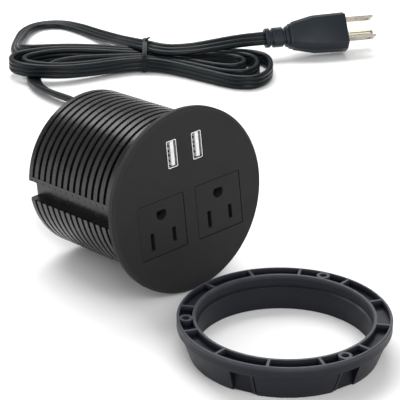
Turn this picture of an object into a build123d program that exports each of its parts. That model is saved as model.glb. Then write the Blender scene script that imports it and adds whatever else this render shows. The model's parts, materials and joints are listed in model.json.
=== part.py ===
from build123d import *
import os
from math import atan2, cos, degrees, pi, radians, sin, tan

# Round in-desk power outlet: a flanged, ribbed barrel with two mains outlets and two USB ports,
# a flat three-core mains lead tied in a hank, and a separate ring that screws on under the desk.
# Millimetres, +Z up, the floor at Z = 0. The outlet lies on its side, its face towards -Y.

# ---------------------------------------------------------------- driving dimensions
FLANGE_R = 44.3            # face plate
FLANGE_T = 4.2
FLANGE_BEVEL = 1.5
FLANGE_BACK_BEVEL = 0.5
BARREL_R = 38.3            # over the ribs, for an 80 mm hole in the desk
BARREL_BORE_R = 34.4
BARREL_END = 73.5          # depth of the barrel's rear edge behind the face
RIB_COUNT = 13
RIB_PITCH = 4.6
RIB_WIDTH = 2.7
RIB_DEPTH = 1.4
CHANNEL_WIDTH = 9.6        # lengthwise channel on each side of the barrel
CHANNEL_DEPTH = 5.6
CHANNEL_START = 11.0
CHANNEL_WALL = 1.8
LIP_WIDTH = 2.2
CAP_T = 2.0                # rear cap
CAP_R = 37.4
CAP_SPIGOT = 4.0
ROLL = 2.2                 # the round unit lies rolled a little, degrees

OUTLET_X = 17.0            # outlet centres, right and left of the middle
OUTLET_Y = -7.2
OUTLET_W = 27.0
OUTLET_H = 26.4
OUTLET_T = FLANGE_T
BLADE_GAP = 12.7           # between the two blade slots
BLADE_Y = -12.5
GROUND_RISE = 11.9         # ground hole above the blade slots
SLOT_W = 2.1
SLOT_LONG = 8.3
SLOT_SHORT = 7.0
GROUND_R = 2.9
BODY_W = 22.4              # insulating body behind each outlet front
BODY_TOP = 4.8
BODY_BOTTOM = -18.8
BODY_BACK = 21.0

USB_X = 7.36
USB_Y = 25.4
USB_W = 5.7                # outside of the metal shell, ports upright
USB_H = 13.14
USB_DEPTH = 13.6
USB_SHEET = 0.35
USB_FRONT = 0.3            # shells sit this far below the face

RETAINER_Z = 21.2          # plate that holds the outlet bodies to the face
RETAINER_T = 2.0
POSTS = [(0, -25.5), (-27, 12), (27, 12)]
BOARD_Z = 42.0             # mains side of the USB supply
BOARD_T = 1.6
STANDOFFS = [(-27, -1), (27, -1), (0, 22)]
LINK_Y = 30.4              # pin header between the two boards
LINK_PINS = (-3.8, -1.27, 1.27, 3.8)

CORD_Y = -12.0             # cord exit on the rear cap
BOOT_LENGTH = 28.0
CORD_W = 8.8               # width of the flat three-core cord
TUBE_R = 3.0               # round tube with about the flat cord's cross-section area

RING_R = 47.0              # locking ring
RING_BORE_R = 38.7
RING_H = 17.0
RING_FLANGE_T = 5.0
RING_SKIRT_R = 41.6
RING_POCKET = 3.2
RING_RIM = 1.2
RING_RIBS = 12
RING_SCREWS = 3
RING_SCREW_R = 43.0
RING_HOLE_R = 1.7
RING_WINDOWS = 6
RING_THREAD_Z = 10.9       # height of the tooth that grips the barrel's ribs

# ---------------------------------------------------------------- how everything lies
FLANGE_EDGE = FLANGE_T - FLANGE_BACK_BEVEL          # the flange's lowest edge when it lies down
TILT = degrees(atan2(FLANGE_R - BARREL_R, BARREL_END - FLANGE_EDGE))
AXIS_Z = FLANGE_R * cos(radians(TILT)) + FLANGE_EDGE * sin(radians(TILT))
REAR_Y = (BARREL_END + CAP_T) * cos(radians(TILT)) + CAP_R * sin(radians(TILT))
RING_DX = -7.0                                      # ring centre from the unit's centre
RING_DY = -72.0
UNIT_X = (RING_R - FLANGE_R - RING_DX) / 2          # puts the origin in the middle of the box
UNIT_Y = (RING_R - RING_DY - REAR_Y) / 2
UNIT = Plane(origin=(UNIT_X, UNIT_Y, AXIS_Z),
             x_dir=(cos(radians(ROLL)), sin(radians(ROLL)) * sin(radians(TILT)),
                    sin(radians(ROLL)) * cos(radians(TILT))),
             z_dir=(0, -cos(radians(TILT)), sin(radians(TILT)))).location
RING = Location((UNIT_X + RING_DX, UNIT_Y + RING_DY, 0))
HANK_X, HANK_Y, HANK_TURN = UNIT_X + 174.0, UNIT_Y + 250.0, -40.5
HANK = Location((HANK_X, HANK_Y, 0), (0, 0, HANK_TURN))


# ---------------------------------------------------------------- helpers
def block(w, h, z_front, z_back, x=0.0, y=0.0, r=0.0):
    """Box in the unit's own axes: x right, y up, between two depths behind the face."""
    outline = RectangleRounded(w, h, r) if r else Rectangle(w, h)
    return Pos(x, y, -z_back) * extrude(outline, z_back - z_front)


def rod(r, z_front, z_back, x=0.0, y=0.0):
    return Pos(x, y, -z_back) * extrude(Circle(r), z_back - z_front)


def at_each(places, make):
    return [make(x, y) for x, y in places]


def screw(x, y, z_head, head_r, head_t, shank_r, length):
    """Pan-head screw driven from behind: the head towards the rear, the shank forwards."""
    head = rod(head_r, z_head, z_head + head_t, x, y)
    cross = block(head_r * 1.1, head_r * 0.3, z_head + head_t * 0.5, z_head + head_t, x, y)
    cross += block(head_r * 0.3, head_r * 1.1, z_head + head_t * 0.5, z_head + head_t, x, y)
    return head + rod(shank_r, z_head - length, z_head, x, y) - cross


def wire(points, radius, r=1.15):
    path = FilletPolyline(*points, radius=radius)
    return sweep(path.location_at(0) * Circle(r), path=path)


def corner_radii(points):
    """Largest tidy arc at each corner: 0.45 of the shorter run over the tangent of half the turn."""
    radii = []
    for before, here, after in zip(points, points[1:], points[2:]):
        run_in = Vector(*here) - Vector(*before)
        run_out = Vector(*after) - Vector(*here)
        half_turn = radians(run_in.get_angle(run_out)) / 2
        radii.append(0.45 * min(run_in.length, run_out.length) / tan(half_turn))
    return radii


def cord_tube(name, points):
    radii = corner_radii(points)
    path = FilletPolyline(*points, radius=radii)
    tube = sweep(path.location_at(0) * Circle(TUBE_R), path=path)
    ratio = tube.volume / (pi * TUBE_R ** 2 * path.length)
    print(name, "length", round(path.length, 1), "volume ratio", round(ratio, 4),
          "radii", [round(r) for r in radii])
    return tube


# ---------------------------------------------------------------- casing
def face_plate():
    plate = rod(FLANGE_R, 0, FLANGE_T)
    plate = chamfer(plate.edges().group_by(Axis.Z)[-1], FLANGE_BEVEL)
    plate = chamfer(plate.edges().group_by(Axis.Z)[0], FLANGE_BACK_BEVEL)
    for side in (-1, 1):
        plate -= block(OUTLET_W + 0.3, OUTLET_H + 0.3, -1, FLANGE_T + 1, side * OUTLET_X, OUTLET_Y, 1.0)
        plate -= block(USB_W + 0.5, USB_H + 0.5, -1, FLANGE_T + 1, side * USB_X, USB_Y, 0.5)
    for angle in (50, 90, 130, 270):
        tab = block(1.3, 7, FLANGE_T, 11, BARREL_BORE_R - 1.1)
        tab += block(1.6, 7, 8.6, 10.2, BARREL_BORE_R - 1.2)
        plate += Rot(0, 0, angle) * tab
    for x, y in POSTS:
        plate += rod(3.4, FLANGE_T, RETAINER_Z - 0.1, x, y) - rod(1.5, 12, RETAINER_Z, x, y)
    return plate


def rib_profile():
    """Half section of the barrel's outside, from the neck to the rear edge."""
    root = BARREL_R - RIB_DEPTH
    slope = 0.45
    points = [(0, -FLANGE_T), (BARREL_R, -FLANGE_T)]
    first = BARREL_END - RIB_COUNT * RIB_PITCH
    for i in range(RIB_COUNT):
        z = -(first + i * RIB_PITCH)
        gap = RIB_PITCH - RIB_WIDTH
        points += [(BARREL_R, z), (root, z - slope), (root, z - gap + slope), (BARREL_R, z - gap)]
    return points + [(BARREL_R, -BARREL_END), (0, -BARREL_END)]


def channel_cut(side, z_back):
    depth_x = BARREL_R - CHANNEL_DEPTH
    return block(20, CHANNEL_WIDTH, CHANNEL_START, z_back, side * (depth_x + 10))


def barrel():
    outline = make_face(Polyline(*rib_profile(), close=True))
    shell = revolve(Plane.XZ * outline, axis=Axis.Z)
    cavity = rod(BARREL_BORE_R, 0, BARREL_END + 1)
    for side in (-1, 1):
        inner_x = BARREL_R - CHANNEL_DEPTH - CHANNEL_WALL
        keep = block(20, CHANNEL_WIDTH + 2 * CHANNEL_WALL, CHANNEL_START - CHANNEL_WALL,
                     BARREL_END + 2, side * (inner_x + 10))
        cavity -= keep
        lip = block(4, LIP_WIDTH, CHANNEL_START - 2, BARREL_END, side * (BARREL_R - 2.5),
                    CHANNEL_WIDTH / 2 + LIP_WIDTH / 2)
        shell += lip
    for angle in (45, 135, 225, 315):
        cavity -= Rot(0, 0, angle) * rod(3.5, 58, BARREL_END + 2, 31.2)
    shell -= cavity
    for side in (-1, 1):
        shell -= channel_cut(side, BARREL_END + 1)
    for angle in (45, 135, 225, 315):
        shell -= Rot(0, 0, angle) * rod(1.35, 60, BARREL_END + 1, 31.2)
    return shell


def rear_cap():
    z = BARREL_END
    cap = rod(CAP_R, z, z + CAP_T)
    cap = chamfer(cap.edges().group_by(Axis.Z)[0], 0.8)
    for side in (-1, 1):
        cap -= channel_cut(side, z + CAP_T + 1)
    rim = rod(33.6, z - CAP_SPIGOT, z) - rod(31.9, z - CAP_SPIGOT - 1, z)
    for angle in (45, 135, 225, 315):
        rim -= Rot(0, 0, angle) * rod(4.1, z - CAP_SPIGOT - 1, z, 31.2)
    for side in (-1, 1):
        rim -= block(8, 14.2, z - CAP_SPIGOT - 1, z, side * 33)
    cap += rim
    for angle in (45, 135, 225, 315):
        cap -= Rot(0, 0, angle) * rod(1.7, z - 1, z + CAP_T + 1, 31.2)
    for i in range(5):
        cap -= block(18, 1.8, z - 1, z + CAP_T + 1, 0, 8 + 4 * i, 0.8)
    return cap - block(15.4, 10.4, z - 1, z + CAP_T + 1, 0, CORD_Y, 3)


def cap_screws():
    places = [(31.2 * cos(radians(a)), 31.2 * sin(radians(a))) for a in (45, 135, 225, 315)]
    return at_each(places, lambda x, y: screw(x, y, BARREL_END + CAP_T + 0.05, 2.7, 1.5, 1.25, 12))


# ---------------------------------------------------------------- mains outlets
def ground_hole(x, z_front, z_back, r=GROUND_R):
    """D-shaped hole, flat at the top."""
    hole = rod(r, z_front, z_back, x, BLADE_Y + GROUND_RISE)
    return hole - block(3 * r, r, z_front - 1, z_back + 1, x, BLADE_Y + GROUND_RISE + r * 1.15)


def outlet_front(x):
    front = block(OUTLET_W, OUTLET_H, 0, OUTLET_T, x, OUTLET_Y, 0.9)
    front = chamfer(front.edges().group_by(Axis.Z)[-1], 0.35)
    front -= block(SLOT_W, SLOT_LONG, -1, OUTLET_T + 1, x - BLADE_GAP / 2, BLADE_Y)
    front -= block(SLOT_W, SLOT_SHORT, -1, OUTLET_T + 1, x + BLADE_GAP / 2, BLADE_Y)
    return front - ground_hole(x, -1, OUTLET_T + 1)


def outlet_body(x):
    height = BODY_TOP - BODY_BOTTOM
    middle = (BODY_TOP + BODY_BOTTOM) / 2
    body = block(BODY_W, height, OUTLET_T + 0.1, BODY_BACK, x, middle, 1.2)
    for dx in (-BLADE_GAP / 2, BLADE_GAP / 2):
        body -= block(4.8, 10.6, OUTLET_T, BODY_BACK + 1, x + dx, BLADE_Y)
    return body - block(8.4, 7.8, OUTLET_T, BODY_BACK + 1, x, BLADE_Y + GROUND_RISE)


def blade_contact(x):
    """Two brass leaves that grip a blade, a web behind them and a tail through the retainer."""
    leaf = block(0.6, 8.6, 5.0, 18.6, x - 1.5, BLADE_Y) + block(0.6, 8.6, 5.0, 18.6, x + 1.5, BLADE_Y)
    web = block(3.6, 8.6, 18.0, 18.8, x, BLADE_Y)
    return leaf + web + block(0.8, 6.0, 18.4, 25.2, x, BLADE_Y)


def ground_contact(x):
    """Brass tube that grips the round pin, split along both sides, with a tail."""
    y = BLADE_Y + GROUND_RISE
    grip = rod(3.5, 4.8, 18.6, x, y) - rod(2.75, 4.0, 17.6, x, y)
    grip -= block(9, 0.8, 4.0, 13.0, x, y)
    return grip + block(0.8, 5.0, 18.4, 25.2, x, y)


def retainer():
    plate = rod(33.2, RETAINER_Z, RETAINER_Z + RETAINER_T)
    plate -= block(80, 40, RETAINER_Z - 1, RETAINER_Z + RETAINER_T + 1, 0, 36.2)
    for x, y in POSTS:
        plate -= rod(1.65, RETAINER_Z - 1, RETAINER_Z + RETAINER_T + 1, x, y)
    for x in (-OUTLET_X, OUTLET_X):
        for dx in (-BLADE_GAP / 2, BLADE_GAP / 2):
            plate -= block(1.8, 7.0, RETAINER_Z - 1, RETAINER_Z + RETAINER_T + 1, x + dx, BLADE_Y)
        plate -= block(1.8, 6.0, RETAINER_Z - 1, RETAINER_Z + RETAINER_T + 1, x, BLADE_Y + GROUND_RISE)
    for side in (-1, 1):
        plate -= block(10, 16, RETAINER_Z - 1, RETAINER_Z + RETAINER_T + 1, side * 34, 0)
    return plate


def retainer_screws():
    z = RETAINER_Z + RETAINER_T + 0.05
    return at_each(POSTS, lambda x, y: screw(x, y, z, 2.8, 1.8, 1.4, 9))


# ---------------------------------------------------------------- USB supply
def usb_shell(x):
    front = USB_FRONT
    tube = block(USB_W, USB_H, front, front + USB_DEPTH, x, USB_Y, 0.6)
    tube -= block(USB_W - 2 * USB_SHEET, USB_H - 2 * USB_SHEET, front - 1, front + USB_DEPTH - 0.5,
                  x, USB_Y, 0.3)
    for dy in (-3.1, 3.1):
        tube -= block(3, 2.0, front + 3.5, front + 8.0, x - USB_W / 2, USB_Y + dy)
    return tube


def usb_tongue(x):
    """Insulating tongue towards the right of the port, on a block at the back."""
    front = USB_FRONT
    tongue = block(1.9, 11.6, front + 0.7, front + 10.5, x + 0.75, USB_Y)
    return tongue + block(4.6, 12.1, front + 10.5, front + 13.0, x, USB_Y)


def usb_pins(x):
    """Four contact strips on the tongue's left face."""
    strips = []
    for dy in (-3.5, -1.0, 1.0, 3.5):
        strips.append(block(0.3, 1.0, USB_FRONT + 1.4, USB_FRONT + 10.4, x - 0.4, USB_Y + dy))
    return strips


def usb_board():
    z = USB_FRONT + USB_DEPTH + 0.1
    board = rod(33.2, z, z + 1.6)
    board -= block(80, 80, z - 1, z + 3, 0, -26.5)
    board -= block(40, 40, z - 1, z + 3, 38, 20) + block(40, 40, z - 1, z + 3, -38, 20)
    return board


def usb_board_chips():
    z = USB_FRONT + USB_DEPTH + 1.75
    chips = [block(5, 4, z, z + 1.5, -9, 19), block(5, 4, z, z + 1.5, 9, 19)]
    return chips + [block(2, 1.2, z, z + 0.8, x, 25) for x in (-6, -2, 2, 6)]


def board_link():
    """Pin header between the USB board and the supply board."""
    z0 = USB_FRONT + USB_DEPTH + 1.75
    pins = [block(0.64, 0.64, z0, BOARD_Z - 0.05, x, LINK_Y) for x in LINK_PINS]
    strip = block(13, 2.4, z0 + 0.05, z0 + 2.6, 0, LINK_Y)
    for x in LINK_PINS:
        strip -= block(0.8, 0.8, z0 - 1, z0 + 4, x, LINK_Y)
    return pins + [strip]


def supply_board():
    board = rod(33.0, BOARD_Z, BOARD_Z + BOARD_T)
    board -= block(80, 20, BOARD_Z - 1, BOARD_Z + 3, 0, -32.5)
    for side in (-1, 1):
        board -= block(10, 15, BOARD_Z - 1, BOARD_Z + 3, side * 34.5, 0)
    for x, y in STANDOFFS:
        board -= rod(1.6, BOARD_Z - 1, BOARD_Z + 3, x, y)
    return board


def standoffs():
    z0 = RETAINER_Z + RETAINER_T
    posts = at_each(STANDOFFS[:2], lambda x, y: rod(2.6, z0 + 0.05, BOARD_Z - 0.05, x, y)
                    - rod(1.5, 34, BOARD_Z, x, y))
    z1 = USB_FRONT + USB_DEPTH + 1.7
    x, y = STANDOFFS[2]
    return posts + [rod(2.6, z1 + 0.05, BOARD_Z - 0.05, x, y) - rod(1.5, 34, BOARD_Z, x, y)]


def board_screws():
    z = BOARD_Z + BOARD_T + 0.05
    return at_each(STANDOFFS, lambda x, y: screw(x, y, z, 2.6, 1.6, 1.4, 7))


def insulating_sheet():
    z = 38.6
    sheet = rod(31.0, z, z + 0.5)
    sheet -= block(80, 20, z - 1, z + 2, 0, -32.5)
    for side in (-1, 1):
        sheet -= block(10, 15, z - 1, z + 2, side * 34.0, 0)
    for x, y in STANDOFFS:
        sheet -= rod(3.0, z - 1, z + 2, x, y)
    return sheet - block(12, 6, z - 1, z + 2, 0, 30.4)


SUPPLY_Z = BOARD_Z + BOARD_T + 0.1       # where the supply's components start


def transformer():
    z = SUPPLY_Z
    core = block(17, 15, z + 3, z + 15, 8, 8)
    return core + block(13, 19, z, z + 17, 8, 8)


def bulk_capacitors():
    return [fillet(rod(5.0, SUPPLY_Z, SUPPLY_Z + 18, x, y).edges().group_by(Axis.Z)[0], 0.8)
            for x, y in ((-10, 12), (-10, 1))]


def output_capacitors():
    return [fillet(rod(3.2, SUPPLY_Z, SUPPLY_Z + 11, x, y).edges().group_by(Axis.Z)[0], 0.6)
            for x, y in ((-10, 23), (9, 23))]


def choke():
    return Pos(-22.5, 9, -(SUPPLY_Z + 2.3)) * Torus(4.6, 2.2)


def rectifier():
    return block(6, 8, SUPPLY_Z, SUPPLY_Z + 3, -19, -4)


def fuse():
    return block(8.5, 4, SUPPLY_Z, SUPPLY_Z + 8, -10, -10, 1.0)


def control_chip():
    return block(5, 6, SUPPLY_Z, SUPPLY_Z + 1.6, 22, 6)


# ---------------------------------------------------------------- wiring
CORE_Z = 69.0                            # where the cord's three cores part, inside the cap
CORE_X = 3.0
TAIL_Z = 26.3                            # wires meet the contact tails here


def neutral_wires():
    y = BLADE_Y
    x0, x1 = -OUTLET_X - BLADE_GAP / 2, OUTLET_X - BLADE_GAP / 2
    feed = wire([(-CORE_X, CORD_Y, -CORE_Z), (-CORE_X, -27, -62), (-CORE_X - 3, -28, -40),
                 (x0, -20, -32), (x0, y + 1.6, -TAIL_Z)], 3)
    link = wire([(x0, y - 1.6, -TAIL_Z), (x0, y - 2.4, -29), (x1, y - 2.4, -29), (x1, y - 1.0, -TAIL_Z)], 1.8)
    return [feed, link]


def line_wires():
    y = BLADE_Y
    x0, x1 = -OUTLET_X + BLADE_GAP / 2, OUTLET_X + BLADE_GAP / 2
    feed = wire([(CORE_X, CORD_Y, -CORE_Z), (CORE_X, -27, -62), (CORE_X + 3, -28, -40),
                 (x1, -20, -32), (x1, y - 1.6, -TAIL_Z)], 3)
    link = wire([(x0, y + 1.2, -TAIL_Z), (x0, y + 4.6, -29), (x1, y + 4.6, -29), (x1, y + 1.6, -TAIL_Z)], 1.8)
    return [feed, link]


def ground_wires():
    y = BLADE_Y + GROUND_RISE
    feed = wire([(0, CORD_Y, -CORE_Z), (0, -27, -60), (0, -27.5, -38), (-6, -14, -34.5),
                 (-OUTLET_X, y - 1.4, -33), (-OUTLET_X, y - 1.4, -TAIL_Z)], 2.6)
    link = wire([(-OUTLET_X, y + 1.3, -TAIL_Z), (-OUTLET_X, y + 3, -29), (OUTLET_X, y + 3, -29),
                 (OUTLET_X, y + 1.0, -TAIL_Z)], 1.8)
    return [feed, link]


def cord_clamp():
    z1 = BARREL_END - 0.1
    clamp = block(17, 12, z1 - 4, z1, 0, CORD_Y, 1.5)
    for x in (-CORE_X, 0, CORE_X):
        clamp -= block(2.9, 3.4, z1 - 6, z1 + 1, x, CORD_Y)
    return clamp


# ---------------------------------------------------------------- cord and plug
BOOT_START = BARREL_END + CAP_T + 0.05


def strain_relief():
    """Tapered, ringed boot on the rear cap, with a neck through the cap."""
    start = Plane((0, CORD_Y, -BOOT_START), z_dir=(0, 0, -1))
    end = Plane((0, CORD_Y, -BOOT_START - BOOT_LENGTH), z_dir=(0, 0, -1))
    boot = loft([start * RectangleRounded(14.5, 10.5, 3.5), end * RectangleRounded(11.0, 6.4, 2.8)])
    boot += block(18.5, 13.5, BOOT_START, BOOT_START + 2.4, 0, CORD_Y, 4)
    for i in range(5):
        z = BOOT_START + 6.5 + 4.4 * i
        boot -= block(30, 20, z, z + 1.7, 0, CORD_Y) - block(10.2 - 0.35 * i, 6.6 - 0.45 * i, z, z + 1.7,
                                                             0, CORD_Y, 1.8)
    return boot + block(15.0, 10.0, BARREL_END + 0.1, BOOT_START, 0, CORD_Y, 2.8)


def behind_boot(distance):
    point = (UNIT * Location((0, CORD_Y, -BOOT_START - BOOT_LENGTH - distance))).position
    return (point.X, point.Y, point.Z)


LEAD_POINTS = [behind_boot(0.05), behind_boot(7)] + [(UNIT_X + x, UNIT_Y + y, z) for x, y, z in [
    (4.5, 116.0, 19.5), (12.5, 123.5, 13.5), (22.0, 132.5, 8.2), (32.0, 143.0, 5.0),
    (43.0, 154.0, 4.4), (54.0, 164.0, 4.4), (66.0, 172.5, 4.4), (79.0, 181.0, 4.4),
    (91.0, 191.5, 4.4), (98.0, 205.5, 4.4), (99.0, 222.5, 4.4), (96.5, 239.0, 4.4),
    (97.0, 255.0, 4.2), (102.5, 269.0, 3.6), (109.5, 279.0, 3.2)]]

PLUG_DIR = 14.1                          # the plug's turn from the hank's long direction
PLUG_LEAN = 38.0                         # the plug's upper edge leans away from the face's side
PLUG_HALF = 12.25
PLUG_Z = 13.6                            # height of its axis as it rests on its lower edge
PLUG = Pos(75.05, 16.0, PLUG_Z) * Rot(0, 0, PLUG_DIR) * Rot(-PLUG_LEAN, 0, 0)
RELIEF_L = 15.5
PLUG_L = 37.0
BLADE_V = -5.0                           # blades and pin, off the middle of the body's thickness
PIN_V = BLADE_V + 11.9

# The tail in the hank's own axes: u along the hank, v away from the face, z up. It leaves the
# hank's left end, lies on the floor in a wide open loop, and comes back over the tied turns.
TAIL_POINTS = [(-56, 5.5, 8.3), (-67, 2, 8.4), (-77, 6, 7.6), (-82, 17, 5.4), (-83, 31, 3.6),
               (-82, 46, 3.2), (-81, 62, 3.2), (-73.5, 76.5, 3.2), (-58, 79.5, 3.2), (-45, 69, 3.2),
               (-33, 54, 3.6), (-21.5, 38, 5.6), (-12, 20, 9.6), (-1, 3.5, 13.2), (13, -5.5, 13.2),
               (28, -4.5, 13.4), (42, 1.5, 13.4), (55, 8.5, 13.4), (66, 13.7, PLUG_Z),
               (75.05, 16.0, PLUG_Z)]

# Circles (u, v, radius) round the hank's two ends, and its waist at the tie, with their heights.
# The left end rests on the lead, which runs in under it.
HANK_LEFT = [(-47, -9.5, 19.5), (-66.5, -10.5, 16.0)]
HANK_RIGHT = [(56.5, -16.0, 23.0)]
HANK_WAIST = (0, 0.7, 11.0)
LEFT_HEIGHT = CORD_W + 3.9
RIGHT_HEIGHT = CORD_W + 0.4
WAIST_HEIGHT = CORD_W + 1.0
WAIST_LENGTH = 40.0
TIE_WIDTH = 2.4
TIE_T = 0.8


def outline(circles):
    return make_hull([Pos(u, v) * Circle(r).edge() for u, v, r in circles])


def hank():
    """Closed outer shape of the tied turns: two lobes that meet at the tie."""
    left = extrude(outline(HANK_LEFT + [HANK_WAIST]), LEFT_HEIGHT)
    right = extrude(outline(HANK_RIGHT + [HANK_WAIST]), WAIST_HEIGHT)
    above_waist = Pos(0, 0, WAIST_HEIGHT + 5) * Box(WAIST_LENGTH, 60, 10)
    above_right = Pos(60 + WAIST_LENGTH / 2, 0, RIGHT_HEIGHT + 5) * Box(120, 120, 10)
    tie_slot = Box(TIE_WIDTH + 0.8, 80, 60) - Pos(0, HANK_WAIST[1], 5.6) * Box(TIE_WIDTH + 2, 22.4, 8.6)
    return left + right - above_waist - above_right - tie_slot


def cable_tie():
    """Twist tie round the waist and the tail, with its two twisted ends."""
    corners = [(-10.9, 1.8, 0.7), (12.3, 1.8, 0.7), (12.3, 9.4, 0.7), (6.8, 12.7, 3.8),
               (1.0, 13.2, 3.8), (-10.9, 9.4, 0.7)]
    loop = outline([(v, z, r + TIE_T) for v, z, r in corners]) - outline(corners)
    band = Plane(origin=(-TIE_WIDTH / 2, 0, 0), x_dir=(0, 1, 0), z_dir=(1, 0, 0)) * extrude(loop, TIE_WIDTH)
    ends = Pos(0.8, 4.0, 19.4) * Rot(0, 24, 0) * Box(1.8, 1.6, 4.5)
    return band + ends


def plug_section(s, height, thickness, r):
    return Plane((s, 0, 0), x_dir=(0, 1, 0), z_dir=(1, 0, 0)) * RectangleRounded(thickness, height, r)


def plug_relief():
    relief = loft([plug_section(0, 11.6, 8.6, 3.4), plug_section(RELIEF_L, 12.4, 9.6, 3.4)])
    for i in range(3):
        s = 2.6 + 4.6 * i
        ring = Pos(s + 0.75, 0, 0) * Box(1.5, 30, 30)
        core = plug_section(s, 9.4, 6.6, 2.4)
        relief -= ring - extrude(core, 1.5)
    return relief


def plug_body():
    sections = [plug_section(RELIEF_L, 15.4, 12.6, 3.0), plug_section(RELIEF_L + 15.5, 23.6, 16.4, 3.4),
                plug_section(RELIEF_L + PLUG_L, 2 * PLUG_HALF, 17.0, 3.4)]
    body = loft(sections, ruled=True)
    for z in (-BLADE_GAP / 2, BLADE_GAP / 2):
        body -= Pos(RELIEF_L + PLUG_L, BLADE_V, z) * Box(12, 6.6, 1.7)
    return body - Pos(RELIEF_L + PLUG_L, PIN_V, 0) * Rot(0, 90, 0) * Cylinder(2.5, 12)


def plug_blade(z):
    s0 = RELIEF_L + PLUG_L
    blade = Pos(s0 + 6.1, BLADE_V, z) * Box(24, 6.35, 1.5)
    blade = chamfer(blade.edges().filter_by(Axis.Y).group_by(Axis.X)[-1], 0.5)
    return blade - Pos(s0 + 14.2, BLADE_V, z) * Cylinder(1.6, 5)


def plug_pin():
    s0 = RELIEF_L + PLUG_L
    pin = Pos(s0 + 6.6, PIN_V, 0) * Rot(0, 90, 0) * Cylinder(2.4, 25)
    return pin + Pos(s0 + 19.1, PIN_V, 0) * Sphere(2.4)


# ---------------------------------------------------------------- locking ring
def ring_window(side):
    """Wedge-shaped window under the flange with a sloping fin at its side."""
    top = RING_H - RING_FLANGE_T
    cut = Pos(43.5, 0, top / 2 - 0.6) * Box(6.2, 11, top - 1.2)
    fin = Polyline((39.5, 0.4), (RING_SKIRT_R - 0.4, 0.4), (RING_R - 1.2, top), (39.5, top), close=True)
    plate = Pos(0, side * 4.2 + 0.7, 0) * extrude(Plane.XZ * make_face(fin), 1.4)
    return cut, plate


def locking_ring():
    top = RING_H - RING_FLANGE_T
    section = Polyline((RING_BORE_R, 0), (RING_SKIRT_R, 0), (RING_R - 0.9, top), (RING_R, top + 0.6),
                       (RING_R, RING_H - 0.4), (RING_R - 0.4, RING_H), (RING_BORE_R + 0.3, RING_H),
                       (RING_BORE_R, RING_H - 0.3), close=True)
    ring = revolve(Plane.XZ * make_face(section), axis=Axis.Z)
    pocket = Pos(0, 0, RING_H - RING_POCKET) * extrude(
        Circle(RING_R - RING_RIM) - Circle(RING_BORE_R + RING_RIM + 0.2), RING_POCKET)
    step = 360 / RING_RIBS
    for i in range(RING_RIBS):
        pocket -= Rot(0, 0, i * step + 8) * Pos(43, 0, RING_H) * Box(12, 1.2, 12)
    for i in range(RING_SCREWS):
        pocket -= Rot(0, 0, i * 360 / RING_SCREWS + 8 + step / 2) * Pos(RING_SCREW_R, 0, RING_H) \
            * Cylinder(3.0, 14)
    ring -= pocket
    for i in range(RING_WINDOWS):
        cut, plate = ring_window(1 if i % 2 else -1)
        turn = Rot(0, 0, i * 360 / RING_WINDOWS + 24)
        ring -= turn * cut
        ring += turn * plate
    for i in range(RING_SCREWS):
        ring -= Rot(0, 0, i * 360 / RING_SCREWS + 8 + step / 2) * Pos(RING_SCREW_R, 0, RING_H / 2) \
            * Cylinder(RING_HOLE_R, RING_H + 4)
    tooth = Polyline((RING_BORE_R + 0.8, -1.3), (RING_BORE_R - 1.0, -0.4), (RING_BORE_R - 1.0, 0.4),
                     (RING_BORE_R + 0.8, 1.3), close=True)
    return ring + Pos(0, 0, RING_THREAD_Z) * revolve(Plane.XZ * make_face(tooth), axis=Axis.Z)


# ---------------------------------------------------------------- the parts
def place(location, shapes):
    moved = [location * s for s in (shapes if isinstance(shapes, list) else [shapes])]
    return moved[0] if len(moved) == 1 else Compound(children=moved)


def unit_parts():
    left, right = -OUTLET_X, OUTLET_X
    half = BLADE_GAP / 2
    return {
        "face_plate": face_plate(), "barrel": barrel(), "rear_cap": rear_cap(),
        "rear_cap_screws": cap_screws(),
        "outlet_front_left": outlet_front(left), "outlet_front_right": outlet_front(right),
        "outlet_body_left": outlet_body(left), "outlet_body_right": outlet_body(right),
        "neutral_contact_left": blade_contact(left - half),
        "neutral_contact_right": blade_contact(right - half),
        "line_contact_left": blade_contact(left + half),
        "line_contact_right": blade_contact(right + half),
        "ground_contact_left": ground_contact(left), "ground_contact_right": ground_contact(right),
        "outlet_retainer": retainer(), "retainer_screws": retainer_screws(),
        "usb_shell_left": usb_shell(-USB_X), "usb_shell_right": usb_shell(USB_X),
        "usb_tongue_left": usb_tongue(-USB_X), "usb_tongue_right": usb_tongue(USB_X),
        "usb_pins_left": usb_pins(-USB_X), "usb_pins_right": usb_pins(USB_X),
        "usb_board": usb_board(), "usb_board_chips": usb_board_chips(), "board_link": board_link(),
        "supply_board": supply_board(), "board_standoffs": standoffs(), "board_screws": board_screws(),
        "insulating_sheet": insulating_sheet(), "transformer": transformer(),
        "bulk_capacitors": bulk_capacitors(), "output_capacitors": output_capacitors(),
        "choke": choke(), "rectifier": rectifier(), "fuse": fuse(), "control_chip": control_chip(),
        "neutral_wires": neutral_wires(), "line_wires": line_wires(), "ground_wires": ground_wires(),
        "cord_clamp": cord_clamp(), "strain_relief": strain_relief(),
    }


def hank_parts():
    return {
        "cord_hank": hank(), "cord_tail": cord_tube("cord_tail", TAIL_POINTS), "cable_tie": cable_tie(),
        "plug_relief": PLUG * plug_relief(), "plug_body": PLUG * plug_body(),
        "plug_line_blade": PLUG * plug_blade(-BLADE_GAP / 2),
        "plug_neutral_blade": PLUG * plug_blade(BLADE_GAP / 2),
        "plug_ground_pin": PLUG * plug_pin(),
    }


def build():
    os.makedirs("parts", exist_ok=True)
    parts = {name: place(UNIT, shape) for name, shape in unit_parts().items()}
    parts |= {name: place(HANK, shape) for name, shape in hank_parts().items()}
    parts["cord_lead"] = cord_tube("cord_lead", LEAD_POINTS)
    parts["locking_ring"] = place(RING, locking_ring())
    for name, shape in parts.items():
        export_step(shape, f"parts/{name}.step")


build()
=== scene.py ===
import json
from math import cos, pi, radians, sin, tau

import bmesh
import bpy
from mathutils import Matrix, Vector


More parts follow.
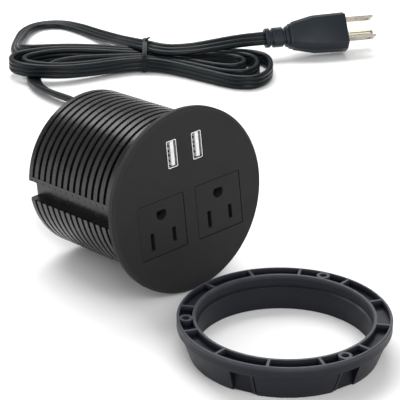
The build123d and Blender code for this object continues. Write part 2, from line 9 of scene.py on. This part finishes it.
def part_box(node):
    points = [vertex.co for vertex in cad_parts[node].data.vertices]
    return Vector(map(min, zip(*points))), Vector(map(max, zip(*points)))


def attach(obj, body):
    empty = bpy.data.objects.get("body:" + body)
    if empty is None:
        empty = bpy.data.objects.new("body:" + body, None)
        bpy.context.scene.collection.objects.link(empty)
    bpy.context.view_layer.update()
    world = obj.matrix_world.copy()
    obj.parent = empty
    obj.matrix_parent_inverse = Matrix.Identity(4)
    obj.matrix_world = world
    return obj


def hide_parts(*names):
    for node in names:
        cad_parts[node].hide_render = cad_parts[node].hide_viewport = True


# Looks of a round in-desk power outlet, its flat mains lead in a tied hank, and its locking ring.
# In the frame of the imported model. Blender and the materials work in metres; mm(), by_unit(), by_hank()
# and on_plug() take millimetres, and the sizes and points that are given to them are in millimetres.

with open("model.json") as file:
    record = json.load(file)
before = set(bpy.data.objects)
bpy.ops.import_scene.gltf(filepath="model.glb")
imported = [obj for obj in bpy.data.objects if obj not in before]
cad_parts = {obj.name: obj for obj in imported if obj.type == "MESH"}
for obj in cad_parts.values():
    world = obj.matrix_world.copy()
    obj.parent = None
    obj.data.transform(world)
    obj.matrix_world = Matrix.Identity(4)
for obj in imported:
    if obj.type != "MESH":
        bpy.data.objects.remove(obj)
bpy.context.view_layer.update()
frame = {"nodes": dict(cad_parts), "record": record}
MM = 0.001


# ---------------------------------------------------------------- places, worked out from the frame
def mm(*values):
    return Vector([value * MM for value in values])


ring_low, ring_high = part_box("locking_ring")
RING = Vector(((ring_low.x + ring_high.x) / 2, (ring_low.y + ring_high.y) / 2, 0))
UNIT = RING + mm(7, 72, 0)                     # the floor under the middle of the outlet's face
HANK = UNIT + mm(174, 250, 0)                  # the floor under the tie
HANK_TURN = Matrix.Rotation(radians(-40.5), 4, "Z")
PLUG_START = (75.05, 16.0, 13.6)               # where the cord enters the plug, by the hank
PLUG_HEADING = 14.1                            # degrees away from the hank's own line
PLUG_LEAN = -38.0                              # degrees about the plug's own line
PLUG_TURN = Matrix.Rotation(radians(PLUG_HEADING), 4, "Z") @ Matrix.Rotation(radians(PLUG_LEAN), 4, "X")
PLUG = Matrix.Translation(HANK) @ HANK_TURN @ Matrix.Translation(mm(*PLUG_START)) @ PLUG_TURN


def by_unit(x, y, z):
    return UNIT + mm(x, y, z)


def by_hank(u, v, z):
    """A point given along the hank, across it away from the face, and up."""
    return HANK + HANK_TURN @ mm(u, v, z)


# ---------------------------------------------------------------- camera
CAMERA_BACK = Vector((-0.5931, -0.6946, 0.4071))   # from what it looks at, back towards the camera
CAMERA_RIGHT = Vector((0, 0, 1)).cross(CAMERA_BACK).normalized()
CAMERA_UP = CAMERA_BACK.cross(CAMERA_RIGHT)
CAMERA_PLACE = (-477.25, -567.45, 377.79)      # from the unit's floor point
CAMERA_LENS = 159.5
CAMERA_SHIFT = (-0.005, -0.011)


def make_camera():
    data = bpy.data.cameras.new("camera")
    data.lens = CAMERA_LENS
    data.sensor_width = 36.0
    data.shift_x, data.shift_y = CAMERA_SHIFT
    data.clip_start, data.clip_end = 0.01, 20.0
    camera = bpy.data.objects.new("camera", data)
    camera.location = by_unit(*CAMERA_PLACE)
    camera.rotation_mode = "QUATERNION"
    camera.rotation_quaternion = (-CAMERA_BACK).to_track_quat("-Z", "Y")
    bpy.context.scene.collection.objects.link(camera)
    bpy.context.scene.camera = camera


make_camera()


# ---------------------------------------------------------------- material tools
MOST_NOISE = (0.3, 0.7)                        # nearly all values of a noise texture lie between these
WHOLE_RANGE = (0.0, 1.0)


def new_material(name):
    material = bpy.data.materials.new(name)
    material.use_nodes = True
    tree = material.node_tree
    shader = tree.nodes["Principled BSDF"]
    return material, tree, shader


def noise(tree, scale, detail=4.0, stretch=(1, 1, 1)):
    """Noise over the object's own coordinates, with about as many waves to a metre as its scale says."""
    place = tree.nodes.new("ShaderNodeTexCoord")
    mapping = tree.nodes.new("ShaderNodeMapping")
    mapping.inputs["Scale"].default_value = stretch
    texture = tree.nodes.new("ShaderNodeTexNoise")
    texture.inputs["Scale"].default_value = scale
    texture.inputs["Detail"].default_value = detail
    tree.links.new(place.outputs["Object"], mapping.inputs["Vector"])
    tree.links.new(mapping.outputs["Vector"], texture.inputs["Vector"])
    return texture.outputs["Fac"]


def spread(tree, value, low, high, span=MOST_NOISE):
    """Maps a span of a value to low..high."""
    node = tree.nodes.new("ShaderNodeMapRange")
    for key, number in zip(("From Min", "From Max", "To Min", "To Max"), (*span, low, high)):
        node.inputs[key].default_value = number
    tree.links.new(value, node.inputs["Value"])
    return node.outputs["Result"]


def bump(tree, shader, height, distance):
    node = tree.nodes.new("ShaderNodeBump")
    node.inputs["Strength"].default_value = 1.0
    node.inputs["Distance"].default_value = distance
    tree.links.new(height, node.inputs["Height"])
    tree.links.new(node.outputs["Normal"], shader.inputs["Normal"])


def colour_by(tree, shader, value, dark, light, span=MOST_NOISE):
    """Colours the surface from dark to light as a value goes over a span."""
    node = tree.nodes.new("ShaderNodeValToRGB")
    for element, position, colour in zip(node.color_ramp.elements, span, (dark, light)):
        element.position = position
        element.color = (*colour, 1)
    tree.links.new(value, node.inputs["Fac"])
    tree.links.new(node.outputs["Color"], shader.inputs["Base Color"])


def gloss_by(tree, shader, value, low, high):
    """Makes the roughness uneven, between low and high, by a value."""
    tree.links.new(spread(tree, value, low, high), shader.inputs["Roughness"])


def scaled(colour, factor):
    return tuple(channel * factor for channel in colour)


def moulded(name, colour, roughness=0.45, grain=1800.0, depth=0.00004, variation=0.12, specular=0.5):
    """Moulded plastic or rubber: fine grain, slight mottling and uneven gloss."""
    material, tree, shader = new_material(name)
    darker, lighter = scaled(colour, 1 - variation), scaled(colour, 1 + variation)
    colour_by(tree, shader, noise(tree, scale=55.0, detail=3.0), darker, lighter)
    gloss_by(tree, shader, noise(tree, scale=160.0, detail=5.0), roughness - 0.05, roughness + 0.06)
    shader.inputs["Specular IOR Level"].default_value = specular
    bump(tree, shader, noise(tree, grain, detail=2.0), depth)
    return material


def metal(name, colour, roughness=0.25, stretch=(1, 1, 1)):
    """Metal with faint tarnish; a stretch draws its grain out into brushing."""
    material, tree, shader = new_material(name)
    shader.inputs["Metallic"].default_value = 1.0
    tarnished = scaled(colour, 0.84)
    colour_by(tree, shader, noise(tree, scale=140.0, detail=4.0), tarnished, colour)
    gloss_by(tree, shader, noise(tree, 300.0, 4.0, stretch), roughness - 0.07, roughness + 0.1)
    bump(tree, shader, noise(tree, 900.0, 3.0, stretch), distance=0.00002)
    return material


def jacket(name, colour, roughness):
    """Extruded cord jacket: satin, with a faint waviness."""
    material, tree, shader = new_material(name)
    darker, lighter = scaled(colour, 0.8), scaled(colour, 1.25)
    colour_by(tree, shader, noise(tree, scale=90.0, detail=3.0), darker, lighter)
    gloss_by(tree, shader, noise(tree, scale=220.0, detail=4.0), roughness - 0.06, roughness + 0.08)
    shader.inputs["Specular IOR Level"].default_value = 0.2
    bump(tree, shader, noise(tree, scale=420.0, detail=3.0), distance=0.00012)
    return material


def ring_plastic(name, dark, light, low, high):
    """Slate plastic: painted shade, dark up to a low height, and unevenly painted lighter from there to a
    high one.
    """
    material, tree, shader = new_material(name)
    place = tree.nodes.new("ShaderNodeTexCoord")
    axes = tree.nodes.new("ShaderNodeSeparateXYZ")
    tree.links.new(place.outputs["Object"], axes.inputs["Vector"])
    # Painted shade in the pockets and painted light on the rims and ribs: dark below the low height,
    # lighter above it.
    rise = spread(tree, axes.outputs["Z"], 0.0, 1.0, span=(low, high))
    painted_light_unevenness = spread(tree, noise(tree, scale=130.0, detail=5.0), 0.7, 1.0)
    painted_light_share = tree.nodes.new("ShaderNodeMath")
    painted_light_share.operation = "MULTIPLY"
    tree.links.new(rise, painted_light_share.inputs[0])
    tree.links.new(painted_light_unevenness, painted_light_share.inputs[1])
    colour_by(tree, shader, painted_light_share.outputs["Value"], dark, light, WHOLE_RANGE)
    gloss_by(tree, shader, noise(tree, scale=170.0, detail=5.0), 0.4, 0.52)
    shader.inputs["Specular IOR Level"].default_value = 0.25
    bump(tree, shader, noise(tree, scale=1500.0, detail=2.0), distance=0.00004)
    return material


# ---------------------------------------------------------------- materials
RING_POCKET_Z = 0.0148                         # up to here the ring is painted dark, as painted shade in its pockets
RING_RIM_Z = 0.0170                            # from here up its rims and ribs are fully painted light

SLOT_MATERIALS = {
    "face_plastic": moulded("face_plastic", (0.022, 0.022, 0.0222), roughness=0.62, grain=2600.0,
                            variation=0.05, specular=0.15),
    "barrel_plastic": moulded("barrel_plastic", (0.0022, 0.0022, 0.0023), roughness=0.26, grain=1600.0,
                              depth=0.00002, variation=0.15, specular=0.4),
    "outlet_plastic": moulded("outlet_plastic", (0.020, 0.020, 0.0203), roughness=0.55, grain=2400.0,
                              depth=0.00003, variation=0.05, specular=0.15),
    "inner_plastic": moulded("inner_plastic", (0.012, 0.012, 0.013), roughness=0.55),
    "contact_brass": metal("contact_brass", (0.62, 0.46, 0.20), roughness=0.32),
    "screw_steel": metal("screw_steel", (0.56, 0.56, 0.55), roughness=0.30),
    "shell_steel": metal("shell_steel", (0.80, 0.80, 0.80), roughness=0.22, stretch=(1, 8, 1)),
    "tongue_plastic": moulded("tongue_plastic", (0.82, 0.82, 0.81)),
    "pin_gold": metal("pin_gold", (0.30, 0.27, 0.22)),
    "board_laminate": moulded("board_laminate", (0.012, 0.11, 0.035), roughness=0.30, grain=900.0),
    "chip_black": moulded("chip_black", (0.015, 0.015, 0.016), roughness=0.50),
    "link_metal": metal("link_metal", (0.78, 0.64, 0.33)),
    "standoff_plastic": moulded("standoff_plastic", (0.72, 0.71, 0.66), roughness=0.50),
    "sheet_insulation": moulded("sheet_insulation", (0.60, 0.58, 0.50), roughness=0.75, grain=700.0),
    "transformer_tape": moulded("transformer_tape", (0.62, 0.47, 0.05), roughness=0.32, grain=500.0),
    "capacitor_sleeve": moulded("capacitor_sleeve", (0.012, 0.02, 0.06), roughness=0.28),
    "choke_winding": metal("choke_winding", (0.50, 0.17, 0.06), roughness=0.28, stretch=(1, 1, 14)),
    "fuse_plastic": moulded("fuse_plastic", (0.06, 0.045, 0.04)),
    "neutral_insulation": moulded("neutral_insulation", (0.70, 0.70, 0.68)),
    "line_insulation": moulded("line_insulation", (0.012, 0.012, 0.012)),
    "ground_insulation": moulded("ground_insulation", (0.015, 0.20, 0.05)),
    "cord_jacket": jacket("cord_jacket", (0.0032, 0.0058, 0.0076), roughness=0.34),
    "tie_plastic": jacket("tie_plastic", (0.0030, 0.0040, 0.0045), roughness=0.38),
    "plug_plastic": moulded("plug_plastic", (0.0080, 0.0125, 0.0175), roughness=0.40, grain=1500.0,
                            depth=0.00003, variation=0.1, specular=0.25),
    "blade_nickel": metal("blade_nickel", (0.52, 0.49, 0.42), roughness=0.26, stretch=(1, 1, 9)),
    "pin_brass": metal("pin_brass", (0.50, 0.46, 0.37), roughness=0.24, stretch=(1, 1, 9)),
    # The ring: painted shade, dark in its pockets, and painted light on its rims and ribs, set by height.
    "ring_plastic": ring_plastic("ring_plastic", dark=(0.0072, 0.0080, 0.0130),
                                 light=(0.052, 0.055, 0.066), low=RING_POCKET_Z, high=RING_RIM_Z),
}


def dress_cad_nodes():
    for part in frame["record"]["subparts"]:
        material = SLOT_MATERIALS[part["material_slot"]]
        node = frame["nodes"][part["node"]]
        for holder in node.material_slots:
            holder.material = material
        if not node.material_slots:
            node.data.materials.append(material)


dress_cad_nodes()


# ---------------------------------------------------------------- mesh tools
def shade(mesh, sharp):
    """Shades a mesh smooth, apart from edges that turn by more than an angle."""
    for face in mesh.polygons:
        face.use_smooth = True
    mesh.set_sharp_from_angle(angle=radians(sharp))


def finish_piece(name, mesh, slot, body="outlet"):
    """Shades the mesh and makes a piece of it that rides on a body."""
    shade(mesh, sharp=35.0)
    piece = bpy.data.objects.new(name, mesh)
    bpy.context.scene.collection.objects.link(piece)
    piece.data.materials.append(SLOT_MATERIALS[slot])
    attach(piece, body)
    return piece


def skin(rings, closed_path=False):
    """Faces over rings of points, each with the same number; open paths get a cap at each end."""
    mesh = bpy.data.meshes.new("skin")
    build = bmesh.new()
    rows = [[build.verts.new(point) for point in ring] for ring in rings]
    pairs = list(zip(rows, rows[1:])) + ([(rows[-1], rows[0])] if closed_path else [])
    for first, second in pairs:
        for i in range(len(first)):
            j = (i + 1) % len(first)
            build.faces.new((first[i], first[j], second[j], second[i]))
    if not closed_path:
        build.faces.new(rows[0])
        build.faces.new(rows[-1])
    bmesh.ops.recalc_face_normals(build, faces=build.faces)
    build.to_mesh(mesh)
    build.free()
    return mesh


def spline_curve(points, cyclic=False, resolution=8):
    data = bpy.data.curves.new("route", "CURVE")
    data.dimensions = "3D"
    data.resolution_u = resolution
    spline = data.splines.new("NURBS")
    spline.points.add(len(points) - 1)
    for place, point in zip(spline.points, points):
        place.co = (*point, 1.0)
    spline.use_cyclic_u = cyclic
    spline.order_u = 3
    spline.use_endpoint_u = not cyclic
    return data


def follow(points, cyclic=False, resolution=8):
    """Points along the NURBS spline with these control points."""
    data = spline_curve(points, cyclic, resolution)
    carrier = bpy.data.objects.new("route", data)
    bpy.context.scene.collection.objects.link(carrier)
    mesh = bpy.data.meshes.new_from_object(carrier)
    line = [vertex.co.copy() for vertex in mesh.vertices]
    bpy.data.objects.remove(carrier)
    bpy.data.curves.remove(data)
    bpy.data.meshes.remove(mesh)
    return line


def directions(line):
    ahead = line[1:] + [line[-1] * 2 - line[-2]]
    behind = [line[0] * 2 - line[1]] + line[:-1]
    return [(after - before).normalized() for before, after in zip(behind, ahead)]


def tube_along(line, rolls, profile):
    """Rings of a flat profile along a line. At roll 0 its width stands upright; at 90 it lies flat."""
    rings = []
    for point, forward, roll in zip(line, directions(line), rolls):
        upright = (Vector((0, 0, 1)) - forward * forward.z).normalized()
        level = forward.cross(upright)
        width = upright * cos(radians(roll)) + level * sin(radians(roll))
        depth = forward.cross(width)
        rings.append([point + width * w + depth * d for w, d in profile])
    return rings


# ---------------------------------------------------------------- the cord
CORD_WIDTH = 8.8 * MM
CORD_THICKNESS = 3.5 * MM
CORD_CORES = 3
CORE_ARC = radians(49.5)                       # round a core, from its top to the groove beside it
CORE_STEPS = 7


def cord_profile():
    """Three round cores side by side in one jacket."""
    radius = CORD_THICKNESS / 2
    pitch = (CORD_WIDTH - CORD_THICKNESS) / (CORD_CORES - 1)
    centres = [(i - (CORD_CORES - 1) / 2) * pitch for i in range(CORD_CORES)]
    points = []
    for side, row in ((1, centres[::-1]), (-1, centres)):
        for i, centre in enumerate(row):
            start, end, steps = -CORE_ARC, CORE_ARC, CORE_STEPS - 1
            if i == 0:
                start = -pi / 2
            if i == CORD_CORES - 1:
                end, steps = pi / 2, CORE_STEPS    # the other side begins with the point left out
            for step in range(CORE_STEPS):
                turn = start + (end - start) * step / steps
                points.append((centre - side * radius * sin(turn), side * radius * cos(turn)))
    return points


# The route. Where it is not coiled, its points are in plan those of the cord's tubes in the model; their
# heights suit the flat cord. The lead's points are by the unit, all later ones by the hank, and each has
# a roll in degrees: 0 stands the flat cord on its edge, 90 lays it flat.
BOOT_END = (0.46, 102.15, 23.64)               # free end of the strain relief
BOOT_AXIS = Vector((0, 0.9963, -0.0856))
OUT_OF_BOOT = 7                                # how far the cord leaves it straight
FLAT = 90.0
LEAD = [(4.5, 116.0, 19.5, 92), (12.5, 123.5, 13.5, 96), (22.0, 132.5, 8.2, 100), (32.0, 143.0, 5.0, 104),
        (43.0, 154.0, 4.4, 108), (54.0, 164.0, 4.4, 112), (66.0, 172.5, 4.4, 116), (79.0, 181.0, 4.4, 120),
        (91.0, 191.5, 4.4, 124), (98.0, 205.5, 4.4, 126), (99.0, 222.5, 4.4, 126), (96.5, 239.0, 4.3, 125),
        (97.0, 255.0, 3.8, 118), (102.5, 269.0, 2.4, 96), (109.5, 279.0, 1.9, 90)]
UNDER_LEFT = [(-67, -14, 2.0, 90), (-62, -8.5, 3.2, 60), (-52, -6.5, 4.9, 20), (-38, -5, 5.7, 0),
              (-18, -2.5, 5.5, 0)]
# Half turns of the hank, innermost and outermost, from the tie and back to it. All stand on edge.
RIGHT_INNER = [(14, -2.6, 4.9), (27, -7, 4.5), (37, -12, 4.4), (46, -16.5, 4.4), (54.5, -18, 4.4),
               (60.5, -14, 4.4), (62, -8, 4.4), (59.5, -1.8, 4.4), (52, 1.6, 4.4), (40, 3.2, 4.4),
               (26, 3.4, 4.5), (12, 2.9, 4.9)]
RIGHT_OUTER = [(14, -11.3, 4.9), (29, -20.5, 4.5), (43, -30.5, 4.4), (55.5, -38.8, 4.4), (68, -39, 4.4),
               (76.5, -27, 4.4), (78.3, -11, 4.4), (76, 2.5, 4.4), (66, 9.3, 4.4), (47, 11.6, 4.4),
               (28, 11.6, 4.5), (12, 10.4, 4.9)]
LEFT_INNER = [(-13, 3.4, 5.6), (-28, 4.6, 6.2), (-42, 3.6, 7.2), (-53, 0.8, 8.0), (-63, -3.5, 8.3),
              (-72, -9.5, 8.3), (-74.3, -15, 8.3), (-72, -20.5, 8.3), (-63, -25, 8.2),
              (-50, -24.6, 7.5), (-36, -19.2, 6.6), (-20, -10.3, 5.8), (-9, -6.2, 5.5)]
LEFT_OUTER = [(-13, 7.8, 5.6), (-29, 8.8, 6.2), (-44, 7.6, 7.3), (-57, 4.5, 8.1), (-69, 0, 8.4),
              (-79.5, -6, 8.4), (-82.5, -15, 8.4), (-78.5, -24, 8.4), (-66, -29.8, 8.2),
              (-50, -29.2, 7.5), (-36, -23.5, 6.6), (-20, -14.5, 5.8), (-9, -10, 5.5)]
TURNS = 3
SLOT_PITCH = 3.7                               # between turns where the tie holds them
FIRST_SLOT = -8.55
TIE_Z = 5.5
OUT_LEFT = [(-14, 11.9, 5.6, 0), (-30, 13, 6.3, 0), (-44, 11.6, 7.3, 0), (-57, 8.7, 8.1, 5),
            (-68, 6.2, 8.3, 15), (-77, 8.5, 7.4, 30)]
TAIL = [(-82, 17, 5.6, 45), (-83, 31, 4.4, 56), (-82, 46, 3.5, 66), (-81, 62, 2.8, 76),
        (-73.5, 76.5, 2.2, 86), (-58, 79.5, 2.1, 94), (-45, 69, 2.6, 102), (-33, 54, 3.6, 108),
        (-21.5, 38, 5.8, 113), (-12, 20, 9.8, 116), (-1, 3.5, 13.3, 118), (13, -5.5, 13.1, 120),
        (28, -4.5, 13.4, 124), (42, 1.5, 13.8, 128), (55, 8.5, 13.9, 134), (66, 13.7, 13.6, 140),
        (*PLUG_START, 142)]


def between(inner, outer, share):
    """The half turn that lies a share of the way from the innermost to the outermost."""
    return [tuple(a + (b - a) * share for a, b in zip(near, far)) for near, far in zip(inner, outer)]


def at_tie(slot):
    return (0.0, FIRST_SLOT + SLOT_PITCH * slot, TIE_Z, 0)


def hank_turns():
    """Half turns right and left of the tie, each wider than the last."""
    points = []
    for turn in range(TURNS):
        points.append(at_tie(TURNS - 1 - turn))
        points += [(*p, 0) for p in between(RIGHT_INNER, RIGHT_OUTER, turn / (TURNS - 1))]
        points.append(at_tie(TURNS + turn))
        if turn < TURNS - 1:
            points += [(*p, 0) for p in between(LEFT_INNER, LEFT_OUTER, turn / (TURNS - 2))]
    return points


def cord_route():
    end = by_unit(*BOOT_END)
    start = [(*end, FLAT), (*(end + BOOT_AXIS * OUT_OF_BOOT * MM), FLAT)]
    lead = [(*by_unit(x, y, z), roll) for x, y, z, roll in LEAD]
    hank = UNDER_LEFT + hank_turns() + OUT_LEFT + TAIL
    return start + lead + [(*by_hank(u, v, z), roll) for u, v, z, roll in hank]


# The rolls go through the same spline as the points, which gives one to each point of the centreline.
route = cord_route()
centreline = follow([point[:3] for point in route])
cord_rolls = [place.x for place in follow([(point[3], 0, 0) for point in route])]

cord = finish_piece("mains_cord", skin(tube_along(centreline, cord_rolls, cord_profile())), "cord_jacket")
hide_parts("cord_lead", "cord_hank", "cord_tail")


# ---------------------------------------------------------------- the twist tie
# Control points of the band's middle line, across the hank and up: under the turns, and round them and
# the tail.
TIE_LOOP = [(-9.0, 0.55), (1, 0.5), (11.5, 0.55), (13.0, 1.2), (13.1, 5), (13.0, 10), (11.0, 15.5),
            (6.0, 16.9), (-1.0, 15.9), (-6.5, 13.2), (-11.6, 10.2), (-11.8, 5.0), (-11.7, 1.2)]
TIE_WIDTH = 2.6
TIE_THICKNESS = 0.5
TIE_WIRE = 0.45                                # half width of the ridge over the tie's wire
TWIST_START = (0.3, 3.6, 16.3)                 # by the hank, on top of the band
TWIST_RUN = (2.4, -0.6, 2.6)
TWIST_TURNS = 1.75
TWIST_STEPS = 26
TWIST_TAPER = 0.25                             # share of its width that is gone at its end
TWIST_OUTLINE = ((-1, -0.5), (0, -0.9), (1, -0.5), (1, 0.5), (0, 0.9), (-1, 0.5))
TWIST_SCALE = (1.15, 0.55)                     # what one unit of the outline is, across and through


def tie_band():
    """A flat plastic strip with a wire down its middle, round the turns and the tail."""
    line = follow([(v * MM, z * MM, 0) for v, z in TIE_LOOP], cyclic=True, resolution=6)
    count = len(line)
    half, flat, wire = TIE_WIDTH / 2, TIE_THICKNESS / 2, TIE_WIRE
    section = [(-half, -flat), (half, -flat), (half, flat), (wire, flat), (wire * 0.6, flat + wire * 0.7),
               (-wire * 0.6, flat + wire * 0.7), (-wire, flat), (-half, flat)]
    rings = []
    for i, place in enumerate(line):
        forward = (line[(i + 1) % count] - line[i - 1]).normalized()
        outward = Vector((forward.y, -forward.x))
        rings.append([by_hank(w, place.x / MM + outward.x * d, place.y / MM + outward.y * d)
                      for w, d in section])
    return skin(rings, closed_path=True)


def tie_ends():
    """The two ends of the tie, twisted together."""
    rings = []
    for step in range(TWIST_STEPS + 1):
        share = step / TWIST_STEPS
        u, v, z = [place + run * share for place, run in zip(TWIST_START, TWIST_RUN)]
        turn = tau * TWIST_TURNS * share
        wide, thick = TWIST_SCALE[0] * (1 - TWIST_TAPER * share), TWIST_SCALE[1]
        outline = [(a * wide, b * thick) for a, b in TWIST_OUTLINE]
        rings.append([by_hank(u + a * cos(turn) - b * sin(turn), v + a * sin(turn) + b * cos(turn), z)
                      for a, b in outline])
    return skin(rings)


def joined(*meshes):
    build = bmesh.new()
    for mesh in meshes:
        build.from_mesh(mesh)
    result = bpy.data.meshes.new("joined")
    build.to_mesh(result)
    build.free()
    return result


tie = finish_piece("twist_tie", joined(tie_band(), tie_ends()), "tie_plastic")
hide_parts("cable_tie")


# ---------------------------------------------------------------- the plug
RELIEF_END = 15.5
RELIEF_RINGS = ((0.0, 3.0), (4.7, 6.8), (13.2, 2.3))   # start and length of each
RELIEF_CORE = (6.4, 9.6, 2.6)                  # thickness, height and corner radius between the rings
RELIEF_THICKNESS = (8.4, 1.0)                  # of a ring at the cord, and what it gains by the body
RELIEF_HEIGHT = (12.0, 0.8)
RELIEF_RADIUS = 3.2
RELIEF_EDGE = 0.35                             # bevel on each ring's edges
RELIEF_EDGE_RADIUS = 3.0
RELIEF_STEP = 0.1                              # along the plug, from a ring's side to the core
# The body's sections: place along the plug, thickness, height, and the facet's size down and across.
BODY_SECTIONS = [(RELIEF_END - 0.05, 11.6, 15.4, 2.2, 3.6), (17.6, 11.8, 15.8, 2.2, 3.7),
                 (17.9, 12.6, 17.4, 2.4, 4.0), (31.5, 16.3, 23.3, 3.0, 5.1), (52.5, 17.0, 24.4, 3.1, 5.3)]


def on_plug(s, t, h):
    """A point along the plug, across its thickness and up it."""
    return PLUG @ mm(s, t, h)


def rounded_section(s, thickness, height, radius, steps=5):
    """A rectangle with rounded corners, across the plug."""
    points = []
    for quarter, (a, b) in enumerate(((1, 1), (-1, 1), (-1, -1), (1, -1))):
        for step in range(steps + 1):
            turn = (quarter + step / steps) * pi / 2
            points.append(on_plug(s, a * (thickness / 2 - radius) + radius * cos(turn),
                                  b * (height / 2 - radius) + radius * sin(turn)))
    return points


def faceted_section(s, thickness, height, facet, fall):
    """Flat sides with a facet that falls away towards the top and bottom edges, across the plug."""
    half, top = thickness / 2, height / 2
    corners = [(half, top - facet), (half - fall, top), (-half + fall, top), (-half, top - facet),
               (-half, -top + facet), (-half + fall, -top), (half - fall, -top), (half, -top + facet)]
    return [on_plug(s, t, h) for t, h in corners]


def bevelled(piece, width):
    """Rounds the edges of a piece with a bevel, applied to its mesh."""
    modifier = piece.modifiers.new("bevel", "BEVEL")
    modifier.width = width * MM
    modifier.segments = 3
    modifier.limit_method = "ANGLE"
    modifier.angle_limit = radians(20.0)
    modifier.harden_normals = False
    result = bpy.data.meshes.new_from_object(piece.evaluated_get(bpy.context.evaluated_depsgraph_get()))
    piece.modifiers.clear()
    piece.data = result
    shade(piece.data, sharp=40.0)
    return piece


def plug_relief():
    """Rounded rings on a narrower core, each a little larger than the one before."""
    sections = []
    for start, length in RELIEF_RINGS:
        end = start + length
        share = start / RELIEF_END
        thickness, height = [size + gain * share for size, gain in (RELIEF_THICKNESS, RELIEF_HEIGHT)]
        full = (thickness, height, RELIEF_RADIUS)
        edge = (thickness - 2 * RELIEF_EDGE, height - 2 * RELIEF_EDGE, RELIEF_EDGE_RADIUS)
        if start > 0:
            sections.append((start - RELIEF_STEP, *RELIEF_CORE))
        sections.append((start, *edge))
        sections.append((start + RELIEF_EDGE, *full))
        sections.append((end - RELIEF_EDGE, *full))
        sections.append((end, *edge))
        sections.append((end + RELIEF_STEP, *RELIEF_CORE))
    return skin([rounded_section(*section) for section in sections])


def plug_body():
    return skin([faceted_section(*section) for section in BODY_SECTIONS])


relief = finish_piece("plug_relief_skin", plug_relief(), "plug_plastic")
body = bevelled(finish_piece("plug_body_skin", plug_body(), "plug_plastic"), width=0.55)
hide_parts("plug_relief")
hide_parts("plug_body")


# ---------------------------------------------------------------- floor and light
FLOOR_HALF = 4.0
FLOOR_Z = -0.0002                              # a hair below what stands on it
LIT_POINT = by_unit(40, 90, 40)                # between the outlet and the hank


def make_floor():
    mesh = bpy.data.meshes.new("floor")
    half = FLOOR_HALF
    mesh.from_pydata([(-half, -half, 0), (half, -half, 0), (half, half, 0), (-half, half, 0)], [],
                     [(0, 1, 2, 3)])
    floor = bpy.data.objects.new("floor", mesh)
    bpy.context.scene.collection.objects.link(floor)
    floor.location.z = FLOOR_Z
    material, tree, shader = new_material("floor_paper")
    colour_by(tree, shader, noise(tree, scale=3.0), (0.86, 0.86, 0.86), (0.9, 0.9, 0.9), WHOLE_RANGE)
    shader.inputs["Roughness"].default_value = 0.9
    mesh.materials.append(material)


def softbox(name, toward, distance, width, height, power):
    """Area light that faces the lit point from a direction given in camera terms: right, up, back."""
    right, up, back = toward
    way = (CAMERA_RIGHT * right + CAMERA_UP * up + CAMERA_BACK * back).normalized()
    data = bpy.data.lights.new(name, "AREA")
    data.shape = "RECTANGLE"
    data.size, data.size_y = width, height
    data.energy = power
    light = bpy.data.objects.new(name, data)
    light.location = LIT_POINT + way * distance
    light.rotation_mode = "QUATERNION"
    light.rotation_quaternion = (-way).to_track_quat("-Z", "Y")
    bpy.context.scene.collection.objects.link(light)


def make_world():
    world = bpy.data.worlds.new("studio")
    bpy.context.scene.world = world
    world.use_nodes = True
    background = world.node_tree.nodes["Background"]
    background.inputs["Color"].default_value = (1.0, 1.0, 1.0, 1.0)
    background.inputs["Strength"].default_value = 0.45


make_floor()
make_world()
softbox("top", (-0.15, 1.0, -0.15), distance=1.4, width=1.3, height=1.0, power=24.0)
softbox("front", (0.35, 0.25, 1.0), distance=1.7, width=1.2, height=1.2, power=15.0)
softbox("left", (-1.0, 0.15, 0.25), distance=1.3, width=0.6, height=1.0, power=6.0)
bpy.context.scene.view_settings.view_transform = "Standard"
